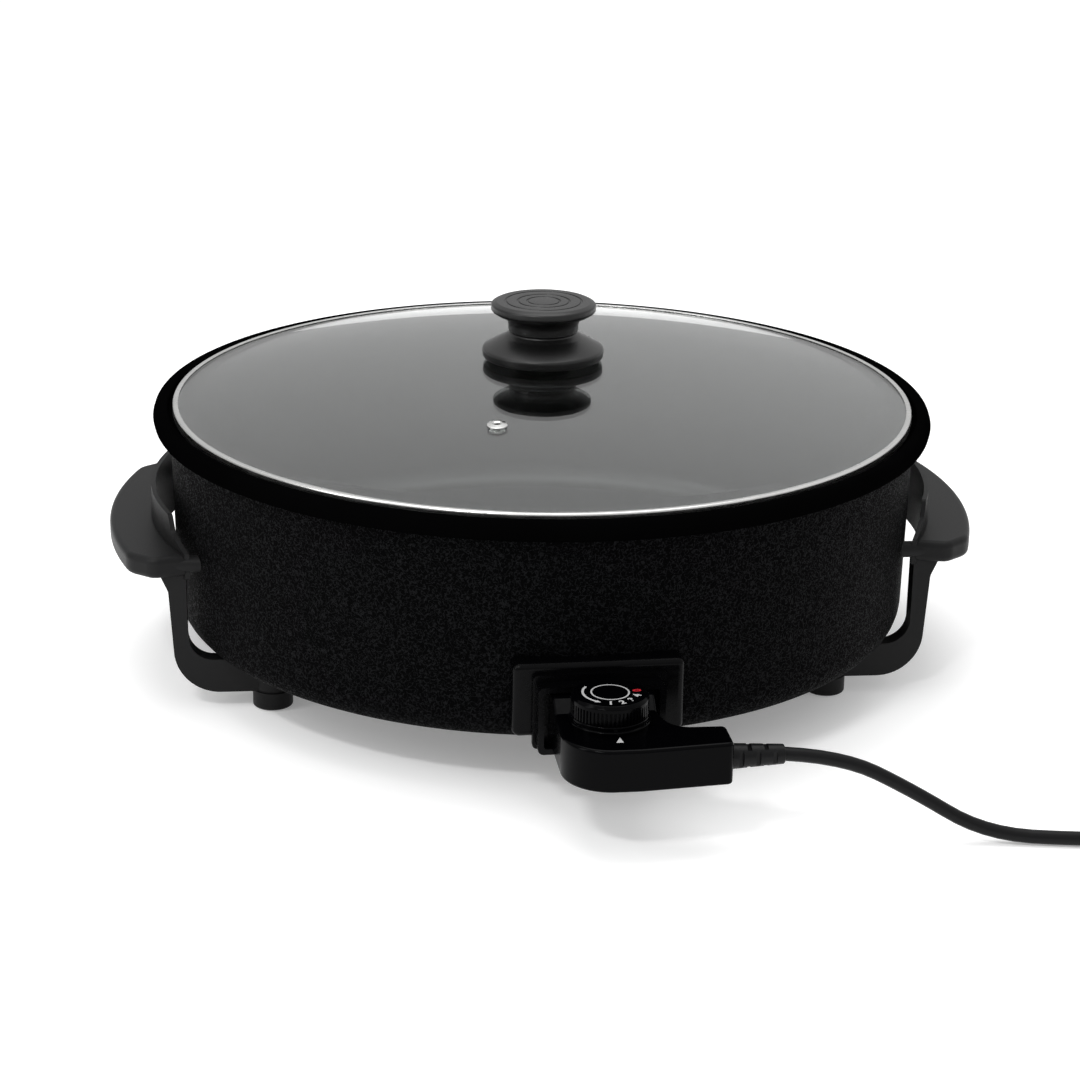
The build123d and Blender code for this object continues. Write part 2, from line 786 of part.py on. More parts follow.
def mains_pins():
    pins = []
    for y in (9.5, -9.5):
        pin = rod(2.4, (0, y, mains_plug_length), 17) + Pos(0, y, mains_plug_length + 17) * Sphere(2.4)
        pins.append(lying(pin))
    return pins


def earth_clips():
    clips = []
    for x in (15.6, -15.6):
        clip = block(x - 0.6, x + 0.6, -2.2, 2.2, mains_plug_length - 15.6, mains_plug_length - 0.4)
        clips.append(lying(clip))
    return clips


# ---------------------------------------------------------------- write every piece

right_handle = handle()
pieces = {
    "pan_body": pan_body(),
    "heating_element": heating_element(),
    "terminal_pins": terminal_pins(),
    "earth_pin": earth_pin(),
    "probe_guide": probe_guide(),
    "socket_insulator": socket_insulator(),
    "socket_shroud": socket_shroud(),
    "socket_cover": socket_cover(),
    "socket_screws": socket_screws(),
    "right_handle": set_round(right_handle),
    "left_handle": set_round(mirror_x(right_handle)),
    "front_left_foot": set_round(foot(-foot_x, -foot_y)),
    "front_right_foot": set_round(foot(foot_x, -foot_y)),
    "back_left_foot": set_round(foot(-foot_x, foot_y)),
    "back_right_foot": set_round(foot(foot_x, foot_y)),
    "foot_screws": foot_screws(),
    "lid_glass": lid_glass(),
    "lid_rim": lid_rim(),
    "vent_eyelet": vent_eyelet(),
    "knob_cap": knob_cap(),
    "knob_skirt": knob_skirt(),
    "knob_gasket": knob_gasket(),
    "knob_washer": knob_washer(),
    "knob_screw": knob_screw(),
    "plug_upper_shell": plug_upper_shell(),
    "plug_lower_shell": plug_lower_shell(),
    "shell_screws": shell_screws(),
    "dial_collar": dial_collar(),
    "dial": dial(),
    "dial_spindle": dial_spindle(),
    "spindle_bush": spindle_bush(),
    "switch_block": switch_block(),
    "bimetal_strip": bimetal_strip(),
    "contact_springs": contact_springs(),
    "probe_rod": probe_rod(),
    "contact_sleeves": contact_sleeves(),
    "earth_sleeve": contact_sleeve(0, earth_z, 2.3),
    "cord_clamp": cord_clamp(),
    "strain_relief": strain_relief(),
    "cord_lead": cord_lead(),
    "cord_coil": cord_coil(),
    "cord_tie": cord_tie(),
    "mains_plug": mains_plug(),
    "mains_pins": mains_pins(),
    "earth_clips": earth_clips(),
}
for name, solids in pieces.items():
    save(name, solids)
print(len(pieces), "nodes written; pan axis at y =", round(axis_y, 2))
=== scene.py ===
import bpy
import bmesh
import math
from mathutils import Matrix, Vector


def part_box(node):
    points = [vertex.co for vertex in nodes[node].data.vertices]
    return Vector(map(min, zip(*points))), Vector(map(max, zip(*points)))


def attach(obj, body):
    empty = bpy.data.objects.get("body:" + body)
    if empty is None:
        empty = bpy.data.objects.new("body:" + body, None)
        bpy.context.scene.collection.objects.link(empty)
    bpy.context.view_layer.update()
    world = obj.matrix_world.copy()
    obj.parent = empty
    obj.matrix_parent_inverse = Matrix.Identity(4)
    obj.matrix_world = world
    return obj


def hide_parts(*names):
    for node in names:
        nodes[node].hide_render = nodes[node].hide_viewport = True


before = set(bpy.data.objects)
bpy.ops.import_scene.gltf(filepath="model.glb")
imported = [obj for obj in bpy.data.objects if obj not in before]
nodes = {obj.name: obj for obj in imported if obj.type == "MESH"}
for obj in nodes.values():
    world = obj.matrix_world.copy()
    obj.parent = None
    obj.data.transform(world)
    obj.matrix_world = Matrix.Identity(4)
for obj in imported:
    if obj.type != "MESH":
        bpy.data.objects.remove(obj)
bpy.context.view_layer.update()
scene = bpy.context.scene
mm = 0.001

panLow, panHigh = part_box("pan_body")
panY = (panLow.y + panHigh.y) / 2      # the pan's upright axis stands at x = 0, y = panY
print("frame loaded, pan axis at", round(panY, 4))


# Small helpers

def pieceFrom(bm, name, body, materials, smooth=True):
    mesh = bpy.data.meshes.new(name)
    bm.to_mesh(mesh)
    bm.free()
    for material in materials:
        mesh.materials.append(material)
    for face in mesh.polygons:
        face.use_smooth = smooth
    piece = bpy.data.objects.new(name, mesh)
    scene.collection.objects.link(piece)
    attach(piece, body)
    return piece


def roundedProfile(corners, segments=6):
    points = []
    for index, (x, z, rounding) in enumerate(corners):
        here = Vector((x, z))
        if rounding <= 0 or index in (0, len(corners) - 1):
            points.append(here)
            continue
        before = Vector(corners[index - 1][:2]) - here
        after = Vector(corners[index + 1][:2]) - here
        half = before.angle(after) / 2
        reach = min(rounding / math.tan(half), before.length * 0.49, after.length * 0.49)
        radius = reach * math.tan(half)
        bisector = (before.normalized() + after.normalized()).normalized()
        centre = here + bisector * (radius / math.sin(half))
        start = here + before.normalized() * reach - centre
        end = here + after.normalized() * reach - centre
        turn = math.atan2(start.x * end.y - start.y * end.x, start.dot(end))
        for step in range(segments + 1):
            points.append(centre + Matrix.Rotation(turn * step / segments, 2) @ start)
    return points


def lathe(corners, steps=160, segments=6, closed=True):
    bm = bmesh.new()
    points = roundedProfile(corners, segments)
    ring = [bm.verts.new((point.x * mm, 0, point.y * mm)) for point in points]
    edges = [bm.edges.new(pair) for pair in zip(ring, ring[1:])]
    if closed:
        edges.append(bm.edges.new((ring[-1], ring[0])))
    bmesh.ops.spin(bm, geom=ring + edges, cent=(0, 0, 0), axis=(0, 0, 1), angle=2 * math.pi,
                   steps=steps, use_merge=True)
    bmesh.ops.remove_doubles(bm, verts=bm.verts, dist=1e-6)
    bmesh.ops.dissolve_degenerate(bm, edges=bm.edges, dist=1e-7)
    bmesh.ops.recalc_face_normals(bm, faces=bm.faces)
    bmesh.ops.translate(bm, verts=bm.verts, vec=(0, panY, 0))
    return bm


def shade(base, share):
    return tuple(min(part * share, 1) for part in base)


class Shader:

    def __init__(self, name, **settings):
        self.material = bpy.data.materials.new(name)
        self.material.use_nodes = True
        self.tree = self.material.node_tree
        self.bsdf = self.tree.nodes["Principled BSDF"]
        self.set(**settings)
        coordinates = self.add("ShaderNodeTexCoord")
        centred = self.add("ShaderNodeMapping")
        centred.inputs["Location"].default_value = (0, -panY, 0)
        self.link(coordinates.outputs["Object"], centred.inputs["Vector"])
        self.place = centred.outputs["Vector"]

    def set(self, **settings):
        for key, value in settings.items():
            self.bsdf.inputs[socketNames[key]].default_value = value

    def add(self, kind, **properties):
        node = self.tree.nodes.new(kind)
        for key, value in properties.items():
            setattr(node, key, value)
        return node

    def link(self, source, target):
        self.tree.links.new(source, target)

    def noise(self, scale, detail=3, roughness=0.5, distortion=0.0, vector=None):
        node = self.add("ShaderNodeTexNoise")
        node.inputs["Scale"].default_value = scale
        node.inputs["Detail"].default_value = detail
        node.inputs["Roughness"].default_value = roughness
        node.inputs["Distortion"].default_value = distortion
        self.link(vector or self.place, node.inputs["Vector"])
        return node.outputs["Fac"]

    def remap(self, value, low, high, toLow, toHigh):
        node = self.add("ShaderNodeMapRange")
        self.link(value, node.inputs["Value"])
        for key, number in (("From Min", low), ("From Max", high), ("To Min", toLow), ("To Max", toHigh)):
            node.inputs[key].default_value = number
        return node.outputs["Result"]

    def blendColour(self, factor, first, second):
        node = self.add("ShaderNodeMix", data_type="RGBA")
        self.link(factor, node.inputs["Factor"])
        for socket, colour in ((node.inputs[6], first), (node.inputs[7], second)):
            if isinstance(colour, tuple):
                socket.default_value = (*colour, 1)
            else:
                self.link(colour, socket)
        return node.outputs[2]

    def maths(self, operation, first, second=None):
        node = self.add("ShaderNodeMath", operation=operation)
        for socket, value in zip(node.inputs, (first, second)):
            if isinstance(value, (int, float)):
                socket.default_value = value
            elif value is not None:
                self.link(value, socket)
        return node.outputs[0]

    def stretched(self, scale):
        node = self.add("ShaderNodeMapping")
        node.inputs["Scale"].default_value = scale
        self.link(self.place, node.inputs["Vector"])
        return node.outputs["Vector"]

    def bump(self, height, distance, strength=1.0):
        node = self.add("ShaderNodeBump")
        node.inputs["Distance"].default_value = distance
        node.inputs["Strength"].default_value = strength
        self.link(height, node.inputs["Height"])
        self.link(node.outputs["Normal"], self.bsdf.inputs["Normal"])

    def colour(self, source):
        self.link(source, self.bsdf.inputs["Base Color"])

    def roughness(self, source):
        self.link(source, self.bsdf.inputs["Roughness"])


socketNames = {
    "base": "Base Color", "rough": "Roughness", "metal": "Metallic", "ior": "IOR",
    "specular": "Specular IOR Level", "transmission": "Transmission Weight",
}


# Camera, first of all

cameraView = {
    "turn": 8.2,            # degrees round the pan, to the left of its socket
    "distance": 1.4381,     # from the pan's axis, on the level
    "height": 0.5792,
    "pitch": 19.65,         # degrees below level
    "roll": 0.88,
    "lens": 88.7,
}


def makeCamera(view):
    camera = bpy.data.objects.new("camera", bpy.data.cameras.new("camera"))
    camera.data.lens = view["lens"]
    camera.data.sensor_width = 36
    camera.data.clip_start = 0.05
    camera.data.clip_end = 60
    turn = Matrix.Rotation(math.radians(-view["turn"]), 4, "Z")
    tilt = Matrix.Rotation(math.radians(90 - view["pitch"]), 4, "X")
    roll = Matrix.Rotation(math.radians(view["roll"]), 4, "Z")
    eye = Vector((0, panY, view["height"])) + turn @ Vector((0, -view["distance"], 0))
    camera.matrix_world = Matrix.Translation(eye) @ turn @ tilt @ roll
    scene.collection.objects.link(camera)
    scene.camera = camera


makeCamera(cameraView)
print("camera made")


# Cord: one smooth line from the strain relief to the mains plug

cordFacts = {
    "diameter": 0.007,
    "coilCentre": (0.352, -0.246),     # from the pan's axis
    "outerRadius": 0.041,
    "innerRadius": 0.034,
    "pointsPerTurn": 16,
    "coilDegrees": 1170,
}

cordRoute = [                           # metres, x and y from the pan's axis, z above the table
    (0.0827, -0.2685, 0.048),
    (0.112, -0.2695, 0.0455),
    (0.146, -0.273, 0.028),
    (0.184, -0.278, 0.0042),
    (0.232, -0.288, 0.0035),
    (0.288, -0.293, 0.0035),
]


def coilPoint(degrees, facts):
    def ease(start, end):
        share = min(max((degrees - start) / (end - start), 0), 1)
        return share * share * (3 - 2 * share)
    outer, inner, thick = facts["outerRadius"], facts["innerRadius"], facts["diameter"]
    radius = outer + (inner - outer) * ease(300, 360) + (outer - inner) * ease(900, 960)
    height = thick / 2 + thick * ease(595, 665)
    radius /= math.cos(math.pi / facts["pointsPerTurn"]) ** 1.5
    angle = math.radians(degrees - 90)
    x, y = facts["coilCentre"]
    return (x + radius * math.cos(angle), y + radius * math.sin(angle), height)


def makeCord(facts, material):
    step = 360 / facts["pointsPerTurn"]
    count = int(facts["coilDegrees"] / step)
    points = cordRoute + [coilPoint(step * index, facts) for index in range(1, count)]
    coilX, coilY = facts["coilCentre"]
    for along in (0.001, 0.0105, 0.020):
        points.append((coilX + facts["outerRadius"], coilY + along, 1.5 * facts["diameter"]))
    curve = bpy.data.curves.new("leadCurve", "CURVE")
    curve.dimensions = "3D"
    spline = curve.splines.new("NURBS")
    spline.points.add(len(points) - 1)
    for point, (x, y, z) in zip(spline.points, points):
        point.co = (x, y + panY, z, 1)
    spline.order_u = 3
    spline.use_endpoint_u = True
    spline.resolution_u = 6
    curve.bevel_depth = facts["diameter"] / 2
    curve.bevel_resolution = 6
    curve.use_fill_caps = True
    curve.materials.append(material)
    lead = bpy.data.objects.new("mainsLead", curve)
    scene.collection.objects.link(lead)
    return lead


def rubberMaterial(name, base, rough):
    shader = Shader(name, rough=rough, specular=0.15)
    fine = shader.noise(900, 4, 0.6)
    broad = shader.noise(40, 3)
    shader.colour(shader.blendColour(broad, shade(base, 0.8), shade(base, 1.3)))
    shader.roughness(shader.remap(fine, 0.3, 0.7, rough - 0.07, rough + 0.09))
    shader.bump(fine, 0.00006, 0.5)
    return shader.material


leadRubber = rubberMaterial("leadRubber", (0.0022, 0.0022, 0.0025), 0.4)
lead = makeCord(cordFacts, leadRubber)
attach(lead, "thermostat_plug")
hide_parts("cord_lead", "cord_coil")
print("cord laid")


# Materials

def wrinkleCoating():
    shader = Shader("wrinkleCoating", specular=0.03)
    folds = shader.noise(520, 1.0, 0.4, 0.6)
    crease = shader.maths("ABSOLUTE", shader.maths("SUBTRACT", folds, 0.5))
    ridgesAndPaintedSheen = shader.remap(crease, 0.0, 0.07, 1, 0)
    fine = shader.noise(1500, 2)
    height = shader.maths("ADD", ridgesAndPaintedSheen, shader.maths("MULTIPLY", fine, 0.2))
    # Colour: the ridge lines are painted lighter than the near-black rest of the coating, a painted
    # highlight on the wrinkle crests. The same mask also drives the real bump and roughness.
    shader.colour(shader.blendColour(ridgesAndPaintedSheen, (0.0002, 0.0002, 0.0003), (0.0058, 0.006, 0.0066)))
    shader.roughness(shader.remap(ridgesAndPaintedSheen, 0, 1, 0.85, 0.5))
    shader.bump(height, 0.0002, 0.7)
    return shader.material


def rimCoating():
    shader = Shader("rimCoating", specular=0.0)
    grain = shader.noise(1300, 3, 0.6)
    broad = shader.noise(18, 3)
    shader.colour(shader.blendColour(broad, (0.0006, 0.0006, 0.0006), (0.0012, 0.0012, 0.0013)))
    shader.roughness(shader.remap(grain, 0.3, 0.7, 0.3, 0.4))
    shader.bump(grain, 0.00003, 0.35)
    return shader.material


def nonStickCoating():
    shader = Shader("nonStickCoating", specular=0.4)
    speckle = shader.remap(shader.noise(1500, 2, 0.5), 0.62, 0.70, 0, 1)
    broad = shader.noise(9, 4, 0.55)
    shader.colour(shader.blendColour(speckle, (0.005, 0.005, 0.0053), (0.022, 0.022, 0.023)))
    shader.roughness(shader.remap(broad, 0.3, 0.7, 0.30, 0.42))
    shader.bump(shader.noise(700, 3), 0.00005, 0.5)
    return shader.material


def glassMaterial():
    shader = Shader("lidGlass", base=(0.93, 0.96, 0.95, 1), transmission=1.0, ior=1.5, rough=0.0)
    smear = shader.noise(14, 4, 0.6)
    shader.roughness(shader.remap(smear, 0.35, 0.75, 0.0, 0.035))
    return shader.material


def brushedSteel(name="brushedSteel", rough=0.24):
    shader = Shader(name, base=(0.62, 0.62, 0.61, 1), metal=1.0, rough=rough)
    grain = shader.noise(60, 3, 0.6, vector=shader.stretched((1, 1, 60)))
    wear = shader.noise(35, 3)
    shader.colour(shader.blendColour(wear, (0.55, 0.55, 0.54), (0.68, 0.68, 0.67)))
    shader.roughness(shader.remap(grain, 0.3, 0.7, rough - 0.06, rough + 0.1))
    shader.bump(grain, 0.00002, 0.4)
    return shader.material


def platedMetal(name, base, rough):
    shader = Shader(name, metal=1.0, rough=rough)
    haze = shader.noise(240, 4, 0.6)
    shader.colour(shader.blendColour(haze, shade(base, 0.85), shade(base, 1.1)))
    shader.roughness(shader.remap(haze, 0.3, 0.7, rough - 0.05, rough + 0.12))
    shader.bump(haze, 0.00002, 0.3)
    return shader.material


def bakelite(name, share, shine, rough):
    shader = Shader(name, specular=shine)
    grain = shader.noise(1400, 4, 0.65)
    flow = shader.noise(22, 4, 0.6, 0.5)
    darkest = shade((0.0085, 0.0085, 0.009), share)
    middle = shade((0.0125, 0.0125, 0.013), share)
    palest = shade((0.0155, 0.0155, 0.016), share)
    streaks = shader.blendColour(flow, darkest, middle)
    shader.colour(shader.blendColour(grain, streaks, palest))
    shader.roughness(shader.remap(grain, 0.3, 0.7, rough, rough + 0.14))
    shader.bump(grain, 0.00007, 0.55)
    return shader.material


def glossMoulding(name, base, rough, shine):
    shader = Shader(name, specular=shine)
    flow = shader.noise(30, 3, 0.5, 0.8)
    haze = shader.noise(420, 4, 0.6)
    shader.colour(shader.blendColour(flow, shade(base, 0.75), shade(base, 1.4)))
    shader.roughness(shader.remap(haze, 0.3, 0.75, rough - 0.04, rough + 0.08))
    shader.bump(haze, 0.00002, 0.35)
    return shader.material


def heatedSheath():
    shader = Shader("heatedSheath", metal=1.0)
    tint = shader.noise(18, 4, 0.6, 0.6)
    scale = shader.noise(380, 4, 0.7)
    shader.colour(shader.blendColour(tint, (0.12, 0.095, 0.075), (0.24, 0.20, 0.17)))
    shader.roughness(shader.remap(scale, 0.3, 0.7, 0.35, 0.62))
    shader.bump(scale, 0.00008, 0.6)
    return shader.material


def ceramicMaterial():
    shader = Shader("ceramic", specular=0.3)
    grain = shader.noise(800, 4, 0.6)
    shader.colour(shader.blendColour(grain, (0.62, 0.59, 0.53), (0.75, 0.73, 0.68)))
    shader.roughness(shader.remap(grain, 0.3, 0.7, 0.6, 0.8))
    shader.bump(grain, 0.00006, 0.6)
    return shader.material


def printInk(name, base):
    shader = Shader(name, rough=0.45, specular=0.3)
    uneven = shader.noise(1800, 3)
    shader.colour(shader.blendColour(uneven, shade(base, 0.8), base))
    shader.roughness(shader.remap(uneven, 0.3, 0.7, 0.4, 0.55))
    return shader.material


wrinkle = wrinkleCoating()
rimSmooth = rimCoating()
nonStick = nonStickCoating()
lidClear = glassMaterial()
steel = brushedSteel()
darkGrey = bakelite("bakelite", 0.45, 0.15, 0.4)
knobBlack = bakelite("knobBakelite", 0.15, 0.4, 0.28)
housingBlack = glossMoulding("housingBlack", (0.0008, 0.0008, 0.001), 0.24, 0.07)
plugBlack = glossMoulding("plugBlack", (0.0004, 0.0004, 0.0006), 0.14, 0.045)
zinc = platedMetal("zincPlate", (0.62, 0.62, 0.63), 0.28)
nickel = platedMetal("nickelPlate", (0.66, 0.63, 0.58), 0.2)
brass = platedMetal("brass", (0.72, 0.52, 0.22), 0.25)
sheath = heatedSheath()
ceramic = ceramicMaterial()
silicone = rubberMaterial("silicone", (0.008, 0.008, 0.008), 0.5)
plugRubber = rubberMaterial("plugRubber", (0.0045, 0.0045, 0.0048), 0.36)
tieBlack = rubberMaterial("tieBlack", (0.006, 0.006, 0.0065), 0.3)
whiteInk = printInk("whiteInk", (0.42, 0.42, 0.42))
redInk = printInk("redInk", (0.42, 0.012, 0.02))

nodeFinish = {
    "heating_element": sheath, "terminal_pins": nickel, "earth_pin": nickel, "probe_guide": steel,
    "socket_insulator": housingBlack, "socket_shroud": housingBlack, "socket_cover": housingBlack,
    "socket_screws": zinc, "right_handle": darkGrey, "left_handle": darkGrey,
    "front_left_foot": darkGrey, "front_right_foot": darkGrey, "back_left_foot": darkGrey,
    "back_right_foot": darkGrey, "foot_screws": zinc, "vent_eyelet": steel, "knob_gasket": silicone,
    "knob_washer": steel, "knob_screw": zinc, "plug_upper_shell": plugBlack, "plug_lower_shell": plugBlack,
    "shell_screws": zinc, "dial_collar": plugBlack, "dial": plugBlack, "dial_spindle": brass,
    "spindle_bush": brass, "switch_block": ceramic, "bimetal_strip": steel, "contact_springs": brass,
    "probe_rod": steel, "contact_sleeves": brass, "earth_sleeve": brass, "cord_clamp": plugBlack,
    "strain_relief": leadRubber, "cord_tie": tieBlack, "mains_plug": plugRubber, "mains_pins": nickel,
    "earth_clips": brass,
}
for nodeName, finish in nodeFinish.items():
    for nodeSlot in nodes[nodeName].material_slots:
        nodeSlot.material = finish
print("materials made")


# Pan

panShape = {
    "wallLow": 206.0, "wallTop": 208.0, "wall": 3.6, "baseLow": 29.0, "baseThick": 5.5,
    "cornerRound": 16.0, "rim": 217.3, "rimLow": 141.0, "rimTop": 152.0,
    "seatRadius": 209.0, "seat": 147.5, "ring": 122.0, "ringTube": 3.5,
}


def makePan(shape):
    baseTop = shape["baseLow"] + shape["baseThick"]
    ring, tube = shape["ring"], shape["ringTube"]
    corners = [
        (0, shape["baseLow"], 0),
        (ring - tube, shape["baseLow"], 0),
        (ring - tube, shape["baseLow"] + 1.6, 1.5),
        (ring + tube, shape["baseLow"] + 1.6, 1.5),
        (ring + tube, shape["baseLow"], 0),
        (shape["wallLow"], shape["baseLow"], shape["cornerRound"]),
        (shape["wallTop"], shape["rimLow"], 1.5),
        (shape["rim"] - 1.2, shape["rimLow"], 3.0),
        (shape["rim"], (shape["rimLow"] + shape["rimTop"]) / 2, 3.0),
        (shape["rim"] - 1.8, shape["rimTop"], 4.0),
        (shape["seatRadius"], shape["rimTop"] - 0.6, 1.5),
        (shape["seatRadius"], shape["seat"], 0.3),
        (shape["wallTop"] - shape["wall"], shape["seat"], 1.2),
        (shape["wallLow"] - shape["wall"], baseTop, shape["cornerRound"] - 3),
        (0, baseTop, 0),
    ]
    bm = lathe(corners, steps=256, segments=8, closed=False)
    for face in bm.faces:
        centre = face.calc_center_median() - Vector((0, panY, 0))
        outward = face.normal.x * centre.x + face.normal.y * centre.y
        isLow = centre.z < (shape["rimLow"] - 0.4) * mm
        if isLow and (outward > 0.0005 or face.normal.z < -0.3):
            face.material_index = 0
        elif centre.z > (shape["seat"] - 0.2) * mm or outward > 0.0005 or face.normal.z < -0.3:
            face.material_index = 1
        else:
            face.material_index = 2
    pan = pieceFrom(bm, "panCasting", "pan", [wrinkle, rimSmooth, nonStick])
    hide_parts("pan_body")
    return pan


makePan(panShape)
print("pan turned")


# Lid

lidShape = {
    "glass": 205.4, "flat": 201.6, "seat": 148.4, "thick": 4.0, "top": 173.8,
    "rim": 206.4, "bandLow": 147.8, "bandHigh": 153.0, "band": 0.6, "flange": 2.2, "hole": 3.2,
}


def domeHeight(radius, shape):
    drop = shape["top"] - shape["seat"] - shape["thick"]
    ball = (shape["flat"] ** 2 + drop ** 2) / (2 * drop)
    return shape["top"] - ball + math.sqrt(ball ** 2 - radius ** 2)


def makeGlass(shape):
    edgeHigh = shape["seat"] + shape["thick"]
    span = shape["flat"] - shape["hole"]
    radii = [shape["hole"] + span * index / 24 for index in range(25)]
    corners = [(radius, domeHeight(radius, shape), 0) for radius in radii]
    corners.append((shape["glass"], edgeHigh, 1.2))
    corners.append((shape["glass"], shape["seat"], 1.2))
    corners += [(radius, domeHeight(radius, shape) - shape["thick"], 0) for radius in reversed(radii)]
    bm = lathe(corners, steps=192, segments=5)
    glass = pieceFrom(bm, "lidGlassDome", "lid", [lidClear])
    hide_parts("lid_glass")


def makeBand(shape):
    inner = shape["glass"] + 0.1
    lip = inner - shape["flange"]
    low, high = shape["bandLow"], shape["bandHigh"]
    corners = [
        (lip, low, 0), (shape["rim"], low, 0.6),
        (shape["rim"], high, 1.2), (lip, high, 0.3),
        (lip, high - shape["band"], 0), (inner, high - shape["band"], 0),
        (inner, low + shape["band"], 0), (lip, low + shape["band"], 0),
    ]
    band = pieceFrom(lathe(corners, steps=256, segments=5), "lidBand", "lid", [steel])
    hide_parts("lid_rim")


makeGlass(lidShape)
makeBand(lidShape)
print("lid made")


# Knob

knobShape = {
    "cap": 29.3, "neck": 19.5, "skirt": 34.2, "split": 190.0, "top": 207.0,
    "grooves": (0.72, 0.49, 0.31), "grooveWidth": 1.3, "grooveDepth": 0.5,
}


def makeKnob(shape):
    cap, neck, skirt, split, top = (shape[key] for key in ("cap", "neck", "skirt", "split", "top"))
    corners = [
        (2.5, split + 8, 0), (2.5, split, 0), (neck - 0.5, split, 0.3), (neck, split + 0.8, 0.4),
        (neck + 0.3, 197.0, 5), (cap - 2.8, 200.2, 3), (cap, 202.0, 1.8), (cap, 205.6, 1.6),
        (cap - 3.0, top, 1.5),
    ]
    for share in shape["grooves"]:
        middle, half, floor = share * cap, shape["grooveWidth"] / 2, top - shape["grooveDepth"]
        corners += [(middle + half, top, 0.25), (middle + half * 0.7, floor, 0.2),
                    (middle - half * 0.7, floor, 0.2), (middle - half, top, 0.25)]
    corners += [(0, top, 0), (0, split + 8, 0)]
    turned = lathe(corners, steps=128, segments=5, closed=False)
    capPiece = pieceFrom(turned, "knobCapTurned", "lid", [knobBlack])
    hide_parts("knob_cap")
    corners = [
        (2.7, 175.4, 0), (16, 175.4, 0.3), (16, 180.0, 1.0), (30.0, 178.6, 1.0), (31.6, 175.6, 0.4),
        (skirt - 0.6, 175.6, 0.8), (skirt, 180.4, 2), (neck + 2.4, split - 2.8, 6),
        (neck, split - 0.8, 0.4), (neck - 0.5, split - 0.05, 0.3), (2.7, split - 0.05, 0),
    ]
    turned = lathe(corners, steps=128, segments=8)
    skirtPiece = pieceFrom(turned, "knobSkirtTurned", "lid", [knobBlack])
    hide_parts("knob_skirt")


makeKnob(knobShape)
print("knob turned")


# Dial print

dialLow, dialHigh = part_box("dial")
dialX, dialY, dialTop = (dialLow.x + dialHigh.x) / 2, (dialLow.y + dialHigh.y) / 2, dialHigh.z
inkThick = 0.00008

dialPrint = {
    "ringRadius": 0.0092, "ringWidth": 0.0008,
    "arcRadius": 0.0134, "arcWidth": 0.0012, "arcFrom": 143, "arcTo": 230,
    "numberRadius": 0.0136, "numberSize": 0.0056,
    "numberAngles": (-98, -73, -48, -23),
    "zeroAngle": 4,
}


def arcBand(bm, radius, width, fromDegrees, toDegrees, steps):
    start = math.radians(fromDegrees)
    ends = []
    for reach in (radius - width / 2, radius + width / 2):
        ends.append(bm.verts.new((reach * math.cos(start), reach * math.sin(start), 0)))
    edge = bm.edges.new(ends)
    bmesh.ops.spin(bm, geom=ends + [edge], cent=(0, 0, 0), axis=(0, 0, 1),
                   angle=math.radians(toDegrees - fromDegrees), steps=steps, use_merge=False)


def finishInk(bm, name, body, material, centre, height):
    bmesh.ops.recalc_face_normals(bm, faces=bm.faces)
    flipped = [face for face in bm.faces if face.normal.z < 0]
    bmesh.ops.reverse_faces(bm, faces=flipped)
    extruded = bmesh.ops.extrude_face_region(bm, geom=list(bm.faces))
    raised = [item for item in extruded["geom"] if isinstance(item, bmesh.types.BMVert)]
    bmesh.ops.translate(bm, verts=raised, vec=(0, 0, inkThick))
    bmesh.ops.recalc_face_normals(bm, faces=bm.faces)
    bmesh.ops.translate(bm, verts=bm.verts, vec=(centre[0], centre[1], height))
    return pieceFrom(bm, name, body, [material], smooth=False)


def makeDialPrint(facts):
    bm = bmesh.new()
    arcBand(bm, facts["ringRadius"], facts["ringWidth"], 0, 360, 72)
    bmesh.ops.remove_doubles(bm, verts=bm.verts, dist=1e-6)
    finishInk(bm, "dialRing", "temperature_dial", whiteInk, (dialX, dialY), dialTop)

    bm = bmesh.new()
    arcBand(bm, facts["arcRadius"], facts["arcWidth"], facts["arcFrom"], facts["arcTo"], 30)
    tip = math.radians(facts["arcTo"])
    radius, size = facts["arcRadius"], 0.0022
    along = Vector((-math.sin(tip), math.cos(tip), 0))
    outwards = Vector((math.cos(tip), math.sin(tip), 0))
    base = outwards * radius
    head = [bm.verts.new(base + outwards * size * 0.6), bm.verts.new(base - outwards * size * 0.6),
            bm.verts.new(base + along * size * 1.3)]
    bm.faces.new(head)
    finishInk(bm, "dialArrow", "temperature_dial", whiteInk, (dialX, dialY), dialTop)

    for number, degrees in enumerate(facts["numberAngles"], start=1):
        stampDigit(str(number), "dialNumber%d" % number, degrees, facts, whiteInk)
    stampDigit("0", "dialZero", facts["zeroAngle"], facts, redInk)


def stampDigit(text, name, degrees, facts, material):
    curve = bpy.data.curves.new(name, "FONT")
    curve.body = text
    curve.size = facts["numberSize"]
    curve.align_x = "CENTER"
    curve.align_y = "CENTER"
    curve.offset = 0.0002
    flat = bpy.data.objects.new(name + "Text", curve)
    scene.collection.objects.link(flat)
    bpy.context.view_layer.update()
    mesh = bpy.data.meshes.new_from_object(flat)
    bpy.data.objects.remove(flat)
    bm = bmesh.new()
    bm.from_mesh(mesh)
    bpy.data.meshes.remove(mesh)
    bmesh.ops.remove_doubles(bm, verts=bm.verts, dist=1e-6)
    angle = math.radians(degrees)
    turn = Matrix.Rotation(angle + math.pi / 2, 4, "Z")
    reach = facts["numberRadius"]
    shift = Matrix.Translation((reach * math.cos(angle), reach * math.sin(angle), 0))
    bmesh.ops.transform(bm, matrix=shift @ turn, verts=bm.verts)
    finishInk(bm, name, "temperature_dial", material, (dialX, dialY), dialTop)


makeDialPrint(dialPrint)


# Pointer on the plug that the setting is read against

pointer = {
    "half": 0.0018, "back": 0.0208, "front": 0.0268,
    "middle": 0.0008, "lean": 0.0009, "height": 0.0600,
}


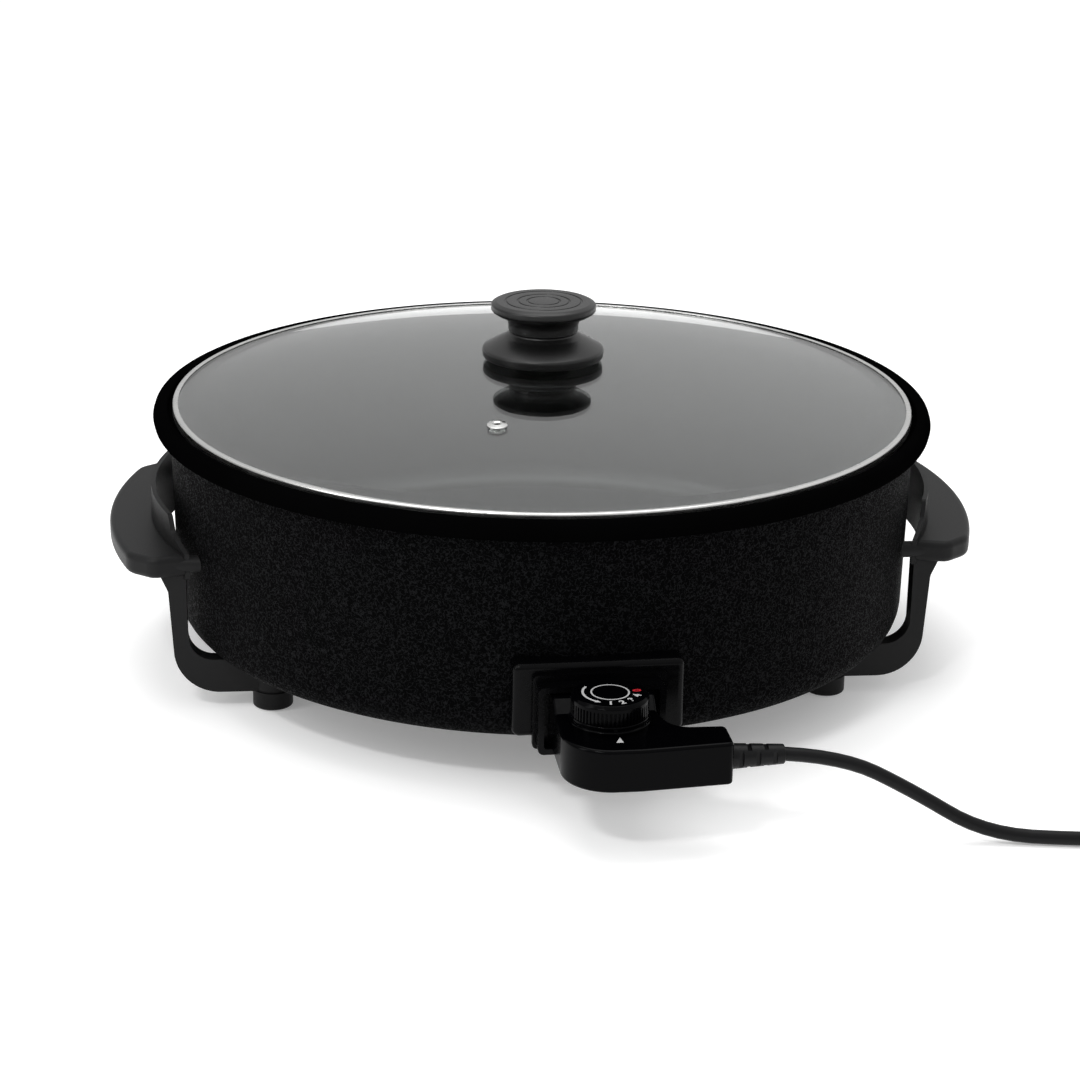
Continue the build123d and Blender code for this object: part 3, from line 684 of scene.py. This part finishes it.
def makePointer(facts):
    bm = bmesh.new()
    middle, half = facts["middle"], facts["half"]
    corners = ((middle - half, -facts["front"]), (middle + half, -facts["front"]),
               (middle + facts["lean"], -facts["back"]))
    bm.faces.new([bm.verts.new((x, y, 0)) for x, y in corners])
    finishInk(bm, "pointerMark", "thermostat_plug", whiteInk, (dialX, dialY), facts["height"])


makePointer(pointer)
print("dial printed")


# Floor and light

studio = {
    "floorSize": 14.0, "floorColour": (0.9, 0.9, 0.9), "floorGlow": 0.22,
    "skyBright": 1.0, "horizonBright": 0.56, "skyLow": 0.05, "skyHigh": 0.8,
    "rightLift": 0.22,
    "topLight": {"place": (0.0, 0.2, 1.9), "size": (1.6, 1.2), "power": 16},
    "leftLight": {"place": (-1.7, -0.6, 1.1), "size": (0.5, 1.4), "power": 9},
    "frontLight": {"place": (-0.75, -1.15, 1.45), "size": (0.4, 0.12), "power": 9},
}


def makeFloor(facts):
    bm = bmesh.new()
    bmesh.ops.create_grid(bm, x_segments=1, y_segments=1, size=facts["floorSize"] / 2)
    mesh = bpy.data.meshes.new("studioFloor")
    bm.to_mesh(mesh)
    bm.free()
    material = bpy.data.materials.new("paleFloor")
    material.use_nodes = True
    bsdf = material.node_tree.nodes["Principled BSDF"]
    bsdf.inputs["Base Color"].default_value = (*facts["floorColour"], 1)
    bsdf.inputs["Roughness"].default_value = 0.9
    bsdf.inputs["Specular IOR Level"].default_value = 0.0
    bsdf.inputs["Emission Color"].default_value = (1, 1, 1, 1)
    bsdf.inputs["Emission Strength"].default_value = facts["floorGlow"]
    mesh.materials.append(material)
    floor = bpy.data.objects.new("studioFloor", mesh)
    floor.location.z = -0.0005
    scene.collection.objects.link(floor)


def makeSky(facts):
    world = bpy.data.worlds.new("studioSky")
    scene.world = world
    world.use_nodes = True
    tree = world.node_tree
    background = tree.nodes["Background"]
    direction = tree.nodes.new("ShaderNodeTexCoord")
    split = tree.nodes.new("ShaderNodeSeparateXYZ")
    tree.links.new(direction.outputs["Generated"], split.inputs["Vector"])
    rise = tree.nodes.new("ShaderNodeMapRange")
    rise.interpolation_type = "SMOOTHSTEP"
    rise.inputs["From Min"].default_value = facts["skyLow"]
    rise.inputs["From Max"].default_value = facts["skyHigh"]
    lean = tree.nodes.new("ShaderNodeMath")
    lean.operation = "MULTIPLY_ADD"
    lean.inputs[1].default_value = facts["rightLift"]
    tree.links.new(split.outputs["X"], lean.inputs[0])
    tree.links.new(split.outputs["Z"], lean.inputs[2])
    tree.links.new(lean.outputs[0], rise.inputs["Value"])
    strength = tree.nodes.new("ShaderNodeMapRange")
    strength.inputs["To Min"].default_value = facts["horizonBright"]
    strength.inputs["To Max"].default_value = facts["skyBright"]
    tree.links.new(rise.outputs["Result"], strength.inputs["Value"])
    tree.links.new(strength.outputs["Result"], background.inputs["Strength"])
    background.inputs["Color"].default_value = (1, 1, 1, 1)


def makeLight(name, facts, target=(0, 0, 0.1)):
    light = bpy.data.lights.new(name, "AREA")
    light.shape = "RECTANGLE"
    light.size, light.size_y = facts["size"]
    light.energy = facts["power"]
    lamp = bpy.data.objects.new(name, light)
    lamp.location = facts["place"]
    lamp.rotation_euler = (Vector(target) - Vector(facts["place"])).to_track_quat("-Z", "Y").to_euler()
    scene.collection.objects.link(lamp)


makeFloor(studio)
makeSky(studio)
for lightName in ("topLight", "leftLight", "frontLight"):
    makeLight(lightName, studio[lightName])
scene.view_settings.view_transform = "Standard"
print("studio ready")
